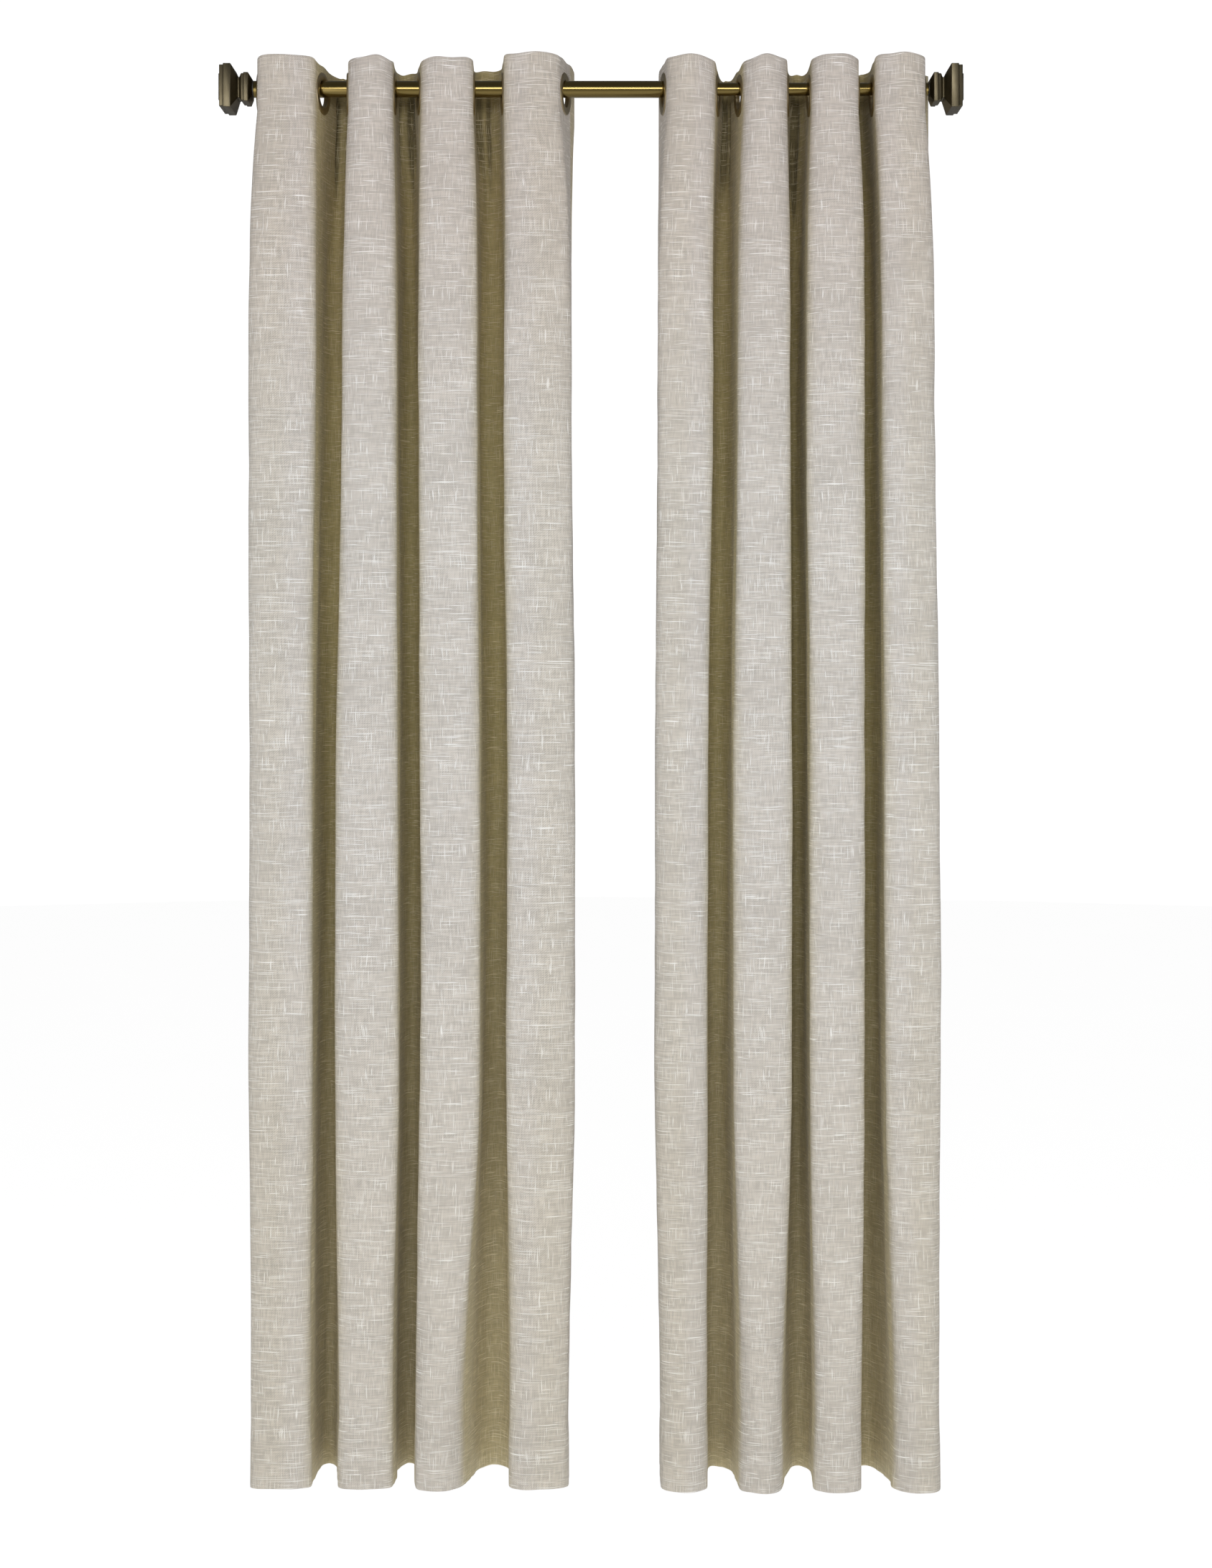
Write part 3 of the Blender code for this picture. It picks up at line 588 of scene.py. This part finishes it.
def panel(side, bracket_x, plans, tops, first_r, rest_r, seed, looks):
    """A curtain, its stiffener and its grommets. Grommet 1 hangs on first_r, and the others on rest_r."""
    rng = np.random.default_rng(seed)
    u = cloth_coordinate()
    depth = row_depths()
    d = depth[:, None]

    # the plan at each depth
    levels = [plan(bracket_x, *shape) for shape in plans]
    weights = plan_weights(depth)
    points = sum(weights[:, i, None, None] * levels[i][0] for i in range(len(levels)))
    ways = sum(weights[:, i, None, None] * levels[i][1] for i in range(len(levels)))
    ways /= np.linalg.norm(ways, axis=2)[:, :, None]
    face = np.stack((ways[:, :, 1], -ways[:, :, 0]), axis=2)

    # front folds draw in towards the top edge
    forward = smooth(33 * MM, 58 * MM, ROD_AXIS.y - points[:, :, 1])
    centre_x = np.interp(u, FOLD_U, [levels[0][0][np.abs(u - f).argmin(), 0] for f in FOLD_U])
    squeeze = 0.17 * forward * (1 - smooth(0, 52 * MM, d))
    points[:, :, 0] += (centre_x - points[:, :, 0]) * squeeze

    # soft waves down the cloth, pleats under the rod in the back folds, and a fuller hem
    free = smooth(90 * MM, 260 * MM, d)
    wave = 1.3 * MM * ripples(rng, u, d, (0.05, 0.11), (0.5, 1.4), 9) * free
    wave += 0.5 * MM * ripples(rng, u, d, (0.02, 0.045), (0.12, 0.4), 9) * free
    pleats = creases(rng, u, d)
    hem_wave = 1.1 * MM * ripples(rng, u, d * 0, (0.03, 0.07), (1, 2), 5)
    fuller = 0.9 * MM * smooth(HEM_START - 25 * MM, HEM_START + 12 * MM, d)
    fuller = fuller + hem_wave * smooth(HEM_START, PANEL_HEIGHT, d)
    points = points + face * (wave + pleats + fuller)[:, :, None]

    # heights: a slightly uneven top edge that leans back in the folds, and the lift of the first grommet
    lift = np.interp(u, FOLD_U, tops) * MM
    kernel = np.hanning(9) / np.hanning(9).sum()
    lift = np.convolve(np.pad(lift, 4, mode="edge"), kernel, mode="valid")
    lift = lift + 1.1 * MM * ripples(rng, u, u * 0, (0.030, 0.065), (1, 2), 7)
    lift = lift - 3.0 * MM * (1 - np.abs(levels[0][1][:, 0]) ** 1.5)
    top_z = ROD_AXIS.z + rest_r + GAP - HOLE_R + TOP_TO_GROMMET
    raised = np.interp(u, GROMMET_U[:2], (first_r - rest_r, 0))
    heights = top_z + raised - d + lift * (1 - smooth(0, 60 * MM, d))
    hem_lift = 1.2 * MM * ripples(rng, u, u * 0, (0.05, 0.12), (1, 2), 5)
    heights = heights + hem_lift * smooth(1.2, 2.1, d)

    def at(offset):
        flat_points = points + face * offset[:, :, None]
        return np.concatenate((flat_points, heights[:, :, None]), axis=2)

    grid = wave.shape
    # painted shade for the room side and the window side, stored on the cloth as its recess attribute
    painted_shade_front, painted_shade_back = painted_fold_shade(u, d, ROD_AXIS.y - points[:, :, 1], pleats)
    recess = np.concatenate((painted_shade_front.ravel(), painted_shade_back.ravel()))
    cloth = np.stack((np.broadcast_to(u, grid), np.broadcast_to(d, grid), np.zeros(grid)), axis=2)
    cloth = cloth.reshape(-1, 3)
    cloth = np.concatenate((cloth, cloth + (0.31, 0.17, 0.5)))

    # the faces kept: none under a grommet's rings, and the pocket's stop short of the side hems
    mid_u, mid_d = (u[1:] + u[:-1]) / 2, ((depth[1:] + depth[:-1]) / 2)[:, None]
    beside, below = mid_u[None, :, None] - GROMMET_U, mid_d[:, :, None] - TOP_TO_GROMMET
    from_grommet = np.min(np.hypot(beside, below), axis=2)
    in_pocket = (mid_d > POCKET_TOP) & (mid_d < POCKET_BOTTOM)
    in_pocket = in_pocket & (mid_u > POCKET_MARGIN) & (mid_u < FLAT_WIDTH - POCKET_MARGIN)
    in_stiffener = in_pocket & (mid_d > STIFFENER_TOP) & (mid_d < STIFFENER_BOTTOM)

    front, back = cloth_faces(u, depth)
    outer = closed(at(front), at(back), from_grommet > CLOTH_CUT_R)
    pocket = np.full(grid, POCKET / 2)
    pocket_points, faces, used = closed(at(pocket), at(-pocket), in_pocket & (from_grommet > POCKET_CUT_R))
    cavity = (pocket_points, faces[:, ::-1], used)
    stiff = np.full(grid, STIFFENER / 2)
    strip = closed(at(stiff), at(-stiff), in_stiffener & (from_grommet > STIFFENER_CUT_R))
    panel_object = sheet_object(f"{side}_curtain", [outer, cavity], cloth, recess, looks["linen"])
    stiffener = sheet_object(f"{side}_buckram", [strip], cloth, recess, looks["buckram"])

    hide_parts(f"{side}_panel")
    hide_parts(f"{side}_header_stiffener")
    for piece in (panel_object, stiffener):
        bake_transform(piece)

    for k in range(GROMMETS):
        way = leaning(plans[0][1][k]) * (-1 if k % 2 == 0 else 1)
        radius = first_r if k == 0 else rest_r
        centre = Vector((bracket_x + plans[0][0][k] * MM, ROD_AXIS.y, ROD_AXIS.z + radius + GAP - HOLE_R))
        trapped = k == (0 if side == "left" else GROMMETS - 1)
        ring_body = "rod_carriage" if trapped else f"{side}_grommet_{k + 1}"
        grommet(side, k + 1, centre, Vector((way[1], -way[0], 0)), ring_body, looks["ring"])


# ---------------------------------------------------------------- turned metal and plastic pieces
def turned(name, profile, segments, at, along, look, node, body):
    """A closed outline of (radius, distance along) turned about an axis. It stands for a CAD node."""
    place = Matrix.Translation(at) @ along.to_track_quat("Z", "Y").to_matrix().to_4x4()
    turns = [2 * math.pi * i / segments for i in range(segments)]
    bm = bmesh.new()
    rings = []
    for radius, distance in profile:
        if radius == 0:
            rings.append([bm.verts.new(place @ Vector((0, 0, distance)))] * segments)
            continue
        round_it = [Vector((radius * math.cos(a), radius * math.sin(a), distance)) for a in turns]
        rings.append([bm.verts.new(place @ point) for point in round_it])
    pairs = zip(rings, rings[1:] + rings[:1] if profile[0][0] > 0 else rings[1:])
    for low, high in pairs:
        for i in range(segments):
            j = (i + 1) % segments
            bm.faces.new(list(dict.fromkeys((low[i], low[j], high[j], high[i]))))
    bmesh.ops.recalc_face_normals(bm, faces=bm.faces)
    mesh = bpy.data.meshes.new(name)
    bm.to_mesh(mesh)
    bm.free()
    mesh.shade_smooth()
    mesh.set_sharp_from_angle(angle=math.radians(40))
    mesh.materials.append(look)
    made = bpy.data.objects.new(name, mesh)
    bpy.context.scene.collection.objects.link(made)
    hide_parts(node)
    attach(made, body)
    return made


def eased(profile, radius, steps=3):
    """The outline with its corners rounded, apart from those on the axis."""
    out = []
    count = len(profile)
    for i, corner in enumerate(profile):
        here = Vector(corner)
        before, after = Vector(profile[i - 1]), Vector(profile[(i + 1) % count])
        if here.x == 0:
            out.append(tuple(here))
            continue
        r = min(radius, (before - here).length * 0.45, (after - here).length * 0.45)
        start = here + (before - here).normalized() * r
        end = here + (after - here).normalized() * r
        for s in range(steps + 1):
            t = s / steps
            point = start * (1 - t) ** 2 + here * 2 * t * (1 - t) + end * t * t
            out.append((point.x, point.y))
    return out


def grommet(side, number, centre, facing, body, look):
    """A pressed front ring with a rolled dome and a barrel, and the flatter back ring it grips."""
    seat = HEADER / 2 + 0.05 * MM
    rear = -HEADER / 2 - GAP - 1.7 * MM
    front = [(RIM_R - 0.2 * MM, seat)]
    for i in range(9):
        a = math.pi * i / 8
        front.append((
            (RIM_R + HOLE_R) / 2 + (RIM_R - HOLE_R) / 2 * math.cos(a),
            seat + 0.5 * MM + 1.9 * MM * math.sin(a) ** 0.8,
        ))
    front += [(HOLE_R, rear + 0.3 * MM), (HOLE_R + 0.4 * MM, rear), (BARREL_R, rear), (BARREL_R, seat)]
    back = eased([
        (BARREL_R + 0.1 * MM, -seat), (BARREL_R + 0.1 * MM, rear), (RIM_R - 3 * MM, rear + 0.3 * MM),
        (RIM_R, -seat - 0.8 * MM), (RIM_R, -seat),
    ], 0.5 * MM)
    for part, profile in (("front", front), ("back", back)):
        node = f"{side}_grommet_{number}_{part}_ring"
        turned(f"{node}_skin", profile, 64, centre, facing, look, node, body)


def rod(looks):
    """The two tubes, the bush that the thinner one slides in, and the plug and stud in each end."""
    along = Vector((1, 0, 0))
    at = Vector((0, ROD_AXIS.y, ROD_AXIS.z))
    for node, low, high, radius, body in (
        ("outer_tube", OUTER_LOW.x, OUTER_HIGH.x, OUTER_R, "rod_carriage"),
        ("inner_tube", INNER_LOW.x, INNER_HIGH.x, INNER_R, "inner_rod"),
    ):
        bore = radius - TUBE_WALL
        profile = eased([(bore, low), (radius, low), (radius, high), (bore, high)], 0.4 * MM)
        turned(f"{node}_skin", profile, 96, at, along, looks["brass"], node, body)

    low, high = (Vector(v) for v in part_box("glide_bush"))
    bore, lip = INNER_R + GAP, 1.5 * MM
    body_r = OUTER_R - TUBE_WALL - GAP
    profile = eased([
        (bore, low.x), (body_r, low.x), (body_r, high.x - lip),
        (OUTER_R, high.x - lip), (OUTER_R, high.x), (bore, high.x),
    ], 0.4 * MM)
    node = "glide_bush"
    turned(f"{node}_skin", profile, 64, at, along, looks["plastic"], node, "rod_carriage")

    for side, outward, end_x, radius, plug_body in (
        ("left", -1, OUTER_LOW.x, OUTER_R, "rod_carriage"),
        ("right", 1, INNER_HIGH.x, INNER_R, "inner_rod"),
    ):
        out = Vector((outward, 0, 0))
        end = Vector((end_x, ROD_AXIS.y, ROD_AXIS.z))
        plug_depth, flange, stud_bore = 14 * MM, 1.8 * MM, 3.3 * MM
        inside = radius - TUBE_WALL - GAP
        plug = eased([
            (stud_bore, -plug_depth), (inside, -plug_depth), (inside, GAP),
            (radius, GAP), (radius, flange), (stud_bore, flange),
        ], 0.35 * MM)
        node = f"{side}_end_plug"
        turned(f"{node}_skin", plug, 64, end, out, looks["plastic"], node, plug_body)

        root_r, crest_r, stud_end, pitch = 2.6 * MM, 3.0 * MM, 24.1 * MM, 0.5 * MM
        thread = [(0, -plug_depth), (root_r, -plug_depth)]
        distance = pitch - plug_depth
        while distance < 23.2 * MM:
            thread += [(crest_r, distance), (root_r, distance + pitch / 2)]
            distance += pitch
        thread += [(root_r, stud_end), (0, stud_end)]
        node = f"{side}_finial_stud"
        turned(f"{node}_skin", thread, 24, end, out, looks["steel"], node, f"{side}_finial")


# ---------------------------------------------------------------- finials and brackets
def eased_copy(node, width, look, body):
    """A CAD node's shape with its sharp edges rounded."""
    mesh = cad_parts[node].data.copy()
    bm = bmesh.new()
    bm.from_mesh(mesh)
    bmesh.ops.remove_doubles(bm, verts=bm.verts, dist=1e-6)
    bmesh.ops.dissolve_limit(bm, angle_limit=math.radians(1), verts=bm.verts, edges=bm.edges)
    bm.to_mesh(mesh)
    bm.free()
    mesh.materials.clear()
    mesh.materials.append(look)
    made = bpy.data.objects.new(f"{node}_skin", mesh)
    bpy.context.scene.collection.objects.link(made)
    change = made.modifiers.new("eased", "BEVEL")
    change.width = width
    change.segments = 3
    change.limit_method = "ANGLE"
    change.angle_limit = math.radians(25)
    change.harden_normals = True
    mesh.shade_smooth()
    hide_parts(node)
    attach(made, body)


def hand_screw(node, at, along, tip, head, look):
    """A thumb screw: a threaded shank and a head with grip ribs round it. Its body has its node's name."""
    root_r, crest_r, pitch = 1.7 * MM, 2.0 * MM, 0.5 * MM
    shank = [(0, tip), (root_r, tip)]
    distance = tip + 0.35 * MM
    while distance < head - 0.5 * MM:
        shank += [(crest_r, distance), (root_r, distance + pitch / 2)]
        distance += pitch
    grip_r = 5.9 * MM
    rounded = eased([
        (3.4 * MM, head), (grip_r, head + 0.9 * MM), (grip_r, head + 4.2 * MM), (4.6 * MM, head + 5 * MM),
    ], 0.4 * MM)
    profile = shank + [(root_r, head)] + rounded + [(0, head + 4.7 * MM)]
    made = turned(f"{node}_skin", profile, 72, at, along, look, node, node)
    axis = along.normalized()
    for vertex in made.data.vertices:
        offset = vertex.co - at
        outward = offset - axis * offset.dot(axis)
        if outward.length > grip_r - 0.4 * MM and vertex.index % 4 < 2:
            vertex.co -= outward.normalized() * 0.35 * MM


def wall_screw(node, look):
    """A wood screw: a tapering point, a thread, and a domed head with a small round recess."""
    place = middle(node)
    root_r, crest_r, pitch = 1.35 * MM, 2.0 * MM, 1.2 * MM
    point, first_turn, taper, seat = 27 * MM, 26 * MM, 6 * MM, -3.3 * MM
    profile = [(0, point)]
    distance = first_turn
    while distance > 2 * MM:
        share = min(1.0, (point - distance) / taper)
        profile += [(root_r * share, distance), (crest_r * share, distance - pitch / 2)]
        distance -= pitch
    profile += [
        (crest_r, seat), (4.2 * MM, seat), (4.1 * MM, seat - 1.0 * MM), (3.0 * MM, seat - 1.9 * MM),
        (1.2 * MM, seat - 2.2 * MM), (0.9 * MM, seat - 1.2 * MM), (0, seat - 1.0 * MM),
    ]
    at = Vector((place.x, 0, place.z))
    turned(f"{node}_skin", profile, 32, at, Vector((0, 1, 0)), look, node, "wall_plates")


def brackets(looks):
    for side, x, radius in (("left", LEFT_X, OUTER_R), ("right", RIGHT_X, INNER_R)):
        eased_copy(f"{side}_wall_plate", 0.6 * MM, looks["bronze"], "wall_plates")
        eased_copy(f"{side}_cup_arm", 0.5 * MM, looks["bronze"], "rod_carriage")
        tip = radius + GAP
        cup_wall = 2.5 * MM
        head = tip + cup_wall + GAP
        axis = Vector((x, ROD_AXIS.y, ROD_AXIS.z))
        hand_screw(f"{side}_cup_screw", axis, Vector((0, -1, 0)), tip, head, looks["bronze"])
        under = middle(f"{side}_arm_screw")
        below = Vector((under.x, under.y, middle(f"{side}_wall_plate").z))
        hand_screw(f"{side}_arm_screw", below, Vector((0, 0, -1)), 4.3 * MM, 7.0 * MM, looks["bronze"])
        for which in ("upper", "lower"):
            wall_screw(f"{side}_{which}_wall_screw", looks["steel"])


# ---------------------------------------------------------------- the scene
def stage():
    mesh = bpy.data.meshes.new("floor")
    turns = np.linspace(0, 2 * math.pi, 65)[:-1]
    corners = [(VIEW_X + FLOOR_R * math.cos(a), FLOOR_R * math.sin(a), FLOOR_Z) for a in turns]
    mesh.from_pydata(corners, [], [list(range(len(corners)))])
    mesh.materials.append(pale_floor())
    floor = bpy.data.objects.new("floor", mesh)
    bpy.context.scene.collection.objects.link(floor)

    world = bpy.data.worlds.new("studio")
    bpy.context.scene.world = world
    world.use_nodes = True
    tree = world.node_tree
    tree.nodes.clear()
    strength = glow(tree, 0.26, 1.05, 0.14)
    sky = put(tree, "ShaderNodeBackground", None, Color=(1, 1, 1, 1), Strength=strength)
    put(tree, "ShaderNodeOutputWorld", None, Surface=sky.outputs[0])

    area_light("key", (-1.7, -3.4, -1.3), AIM, 2.2, 2.6, 27)
    area_light("fill", (2.9, -3.3, -1.3), AIM, 2.0, 2.6, 26)
    area_light("softbox", (VIEW_X, -3.9, 0.30), (VIEW_X, -0.1, 0.0), 2.6, 1.1, 54)
    bpy.context.scene.view_settings.view_transform = "Standard"


make_camera()
stage()
LOOKS = {
    "linen": linen(),
    "buckram": buckram(),
    "brass": metal(
        "antique_brass", (0.215, 0.150, 0.034, 1), (0.235, 0.168, 0.042, 1), 0.18,
        grain=(2, 500, 500), coat=0.6, cloud=0.15, relief=0.0,
    ),
    "bronze": metal(
        "aged_bronze", (0.118, 0.098, 0.061, 1), (0.130, 0.110, 0.070, 1), 0.38,
        grain=(90, 90, 90), cloud=0.6, relief=0.01,
    ),
    "ring": metal("grommet_metal", (0.50, 0.42, 0.27, 1), (0.62, 0.52, 0.34, 1), 0.36),
    "steel": metal("zinc_steel", (0.42, 0.42, 0.41, 1), (0.58, 0.58, 0.56, 1), 0.38),
    "plastic": moulded("bush_plastic", (0.045, 0.04, 0.032, 1), 0.5),
}
panel("left", LEFT_X, LEFT_PLANS, LEFT_TOPS, OUTER_R, OUTER_R, 11, LOOKS)
panel("right", RIGHT_X, RIGHT_PLANS, RIGHT_TOPS, OUTER_R, INNER_R, 29, LOOKS)
rod(LOOKS)
for side in ("left", "right"):
    eased_copy(f"{side}_finial", 0.8 * MM, LOOKS["bronze"], f"{side}_finial")
brackets(LOOKS)
